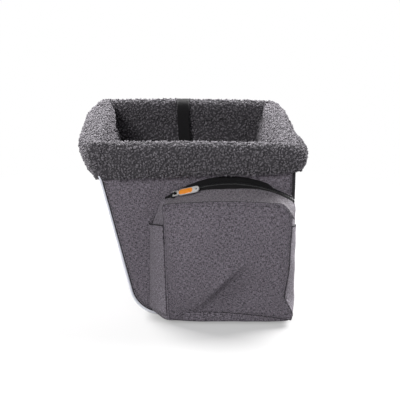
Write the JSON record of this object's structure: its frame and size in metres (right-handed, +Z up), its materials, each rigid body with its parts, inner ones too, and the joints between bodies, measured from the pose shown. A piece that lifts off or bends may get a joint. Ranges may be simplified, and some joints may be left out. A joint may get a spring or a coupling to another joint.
{
  "type": "dog bicycle basket",
  "caption": "Soft boarded basket that straps to a handlebar to carry a small dog, with a fleece liner folded over a wired rim, zipped side pockets and a tether.",
  "frame": {"origin": "on the floor, at the middle of the footprint of the whole bounding box", "axes": "+Z up, +Y towards the handlebar that the back hangs on, +X towards the rider's left, where the pictured side is"},
  "size_m": [0.495, 0.3386, 0.271],
  "materials": {
    "heather_fabric": "heathered polyester weave",
    "fleece": "curly fleece pile",
    "reflective_piping": "silver reflective cord",
    "dark_binding": "woven binding",
    "webbing": "woven webbing",
    "zip_tape": "woven zip tape",
    "zip_coil": "moulded coil",
    "board": "polyethylene sheet",
    "buckle": "moulded acetal",
    "steel_wire": "drawn wire",
    "ferrule": "crimped tube",
    "slider": "black enamel",
    "pull": "orange enamel in a bright border",
    "snap": "nickel plate"
  },
  "bodies": {
    "basket": {"back_corner_cords": "dark_binding", "bar_strap_left_lower_web": "webbing", "bar_strap_left_socket": "buckle", "bar_strap_left_upper_web": "webbing", "bar_strap_right_lower_web": "webbing", "bar_strap_right_socket": "buckle", "bar_strap_right_upper_web": "webbing", "board_back": "board", "board_floor": "board", "board_front": "board", "board_side_left": "board", "board_side_right": "board", "cuff_back": "fleece", "cuff_front": "fleece", "cuff_side_left": "fleece", "cuff_side_right": "fleece", "floor_pad": "fleece", "lining_back": "fleece", "lining_front": "fleece", "lining_side_left": "fleece", "lining_side_right": "fleece", "piping_left": "reflective_piping", "piping_right": "reflective_piping", "pocket_face_left": "heather_fabric", "pocket_face_right": "heather_fabric", "pocket_gusset_left": "heather_fabric", "pocket_gusset_right": "heather_fabric", "pocket_top_strip_left": "heather_fabric", "pocket_top_strip_right": "heather_fabric", "rim_hem": "dark_binding", "rim_wire": "steel_wire", "shell_back": "heather_fabric", "shell_side_left": "heather_fabric", "shell_side_right": "heather_fabric", "shell_wrap": "heather_fabric", "slip_pocket_back_left": "heather_fabric", "slip_pocket_back_right": "heather_fabric", "slip_pocket_front_left": "heather_fabric", "slip_pocket_front_right": "heather_fabric", "stem_strap_left_web": "webbing", "stem_strap_right_web": "webbing", "stem_strap_socket": "buckle", "tether_snap_eye": "snap", "tether_web": "webbing", "wire_ferrule": "ferrule", "zip_coil_left": "zip_coil", "zip_coil_right": "zip_coil", "zip_tape_left": "zip_tape", "zip_tape_right": "zip_tape"},
    "zip_slider_left": {"zip_slider_left": "slider"},
    "zip_pull_left": {"zip_pull_left": "pull"},
    "bar_strap_left_plug": {"bar_strap_left_plug": "buckle"},
    "zip_slider_right": {"zip_slider_right": "slider"},
    "zip_pull_right": {"zip_pull_right": "pull"},
    "bar_strap_right_plug": {"bar_strap_right_plug": "buckle"},
    "stem_strap_plug": {"stem_strap_plug": "buckle"},
    "tether_snap": {"tether_snap_body": "snap", "tether_snap_spring": "steel_wire"},
    "tether_snap_bolt": {"tether_snap_bolt": "snap"}
  },
  "joints": [
    {"name": "zip_left_run", "type": "hinge", "parent": "basket", "child": "zip_slider_left", "pos_m": [0.2125, 0.056, 0.0195], "axis": [-1, 0, 0], "range_deg": [0, 53.5], "deforming": ["zip_coil_left", "zip_tape_left"]},
    {"name": "zip_left_pull_flip", "type": "hinge", "parent": "zip_slider_left", "child": "zip_pull_left", "pos_m": [0.21515, -0.03033, 0.19389], "axis": [0.8236, -0.066, -0.5633], "range_deg": [0, 115]},
    {"name": "zip_right_run", "type": "hinge", "parent": "basket", "child": "zip_slider_right", "pos_m": [-0.2125, 0.056, 0.0195], "axis": [-1, 0, 0], "range_deg": [0, 53.5], "deforming": ["zip_coil_right", "zip_tape_right"]},
    {"name": "zip_right_pull_flip", "type": "hinge", "parent": "zip_slider_right", "child": "zip_pull_right", "pos_m": [-0.21515, -0.03033, 0.19389], "axis": [0.8236, 0.066, 0.5633], "range_deg": [0, 115]},
    {"name": "bar_strap_left_release", "type": "slide", "parent": "basket", "child": "bar_strap_left_plug", "axis": [0, 0, -1], "range_m": [0, 0.026], "deforming": ["bar_strap_left_lower_web"]},
    {"name": "bar_strap_right_release", "type": "slide", "parent": "basket", "child": "bar_strap_right_plug", "axis": [0, 0, -1], "range_m": [0, 0.026], "deforming": ["bar_strap_right_lower_web"]},
    {"name": "stem_strap_release", "type": "slide", "parent": "basket", "child": "stem_strap_plug", "axis": [-1, 0, 0], "range_m": [0, 0.026], "deforming": ["stem_strap_right_web"]},
    {"name": "tether_snap_swivel", "type": "hinge", "parent": "basket", "child": "tether_snap", "pos_m": [-0.17585, -0.005, 0.115], "axis": [0, 0, 1], "continuous": true},
    {"name": "tether_snap_bolt_draw", "type": "slide", "parent": "tether_snap", "child": "tether_snap_bolt", "axis": [0, 0, 1], "range_m": [0, 0.008], "stiffness_N_per_m": 300, "springref_m": -0.004, "deforming": ["tether_snap_spring"]}
  ]
}
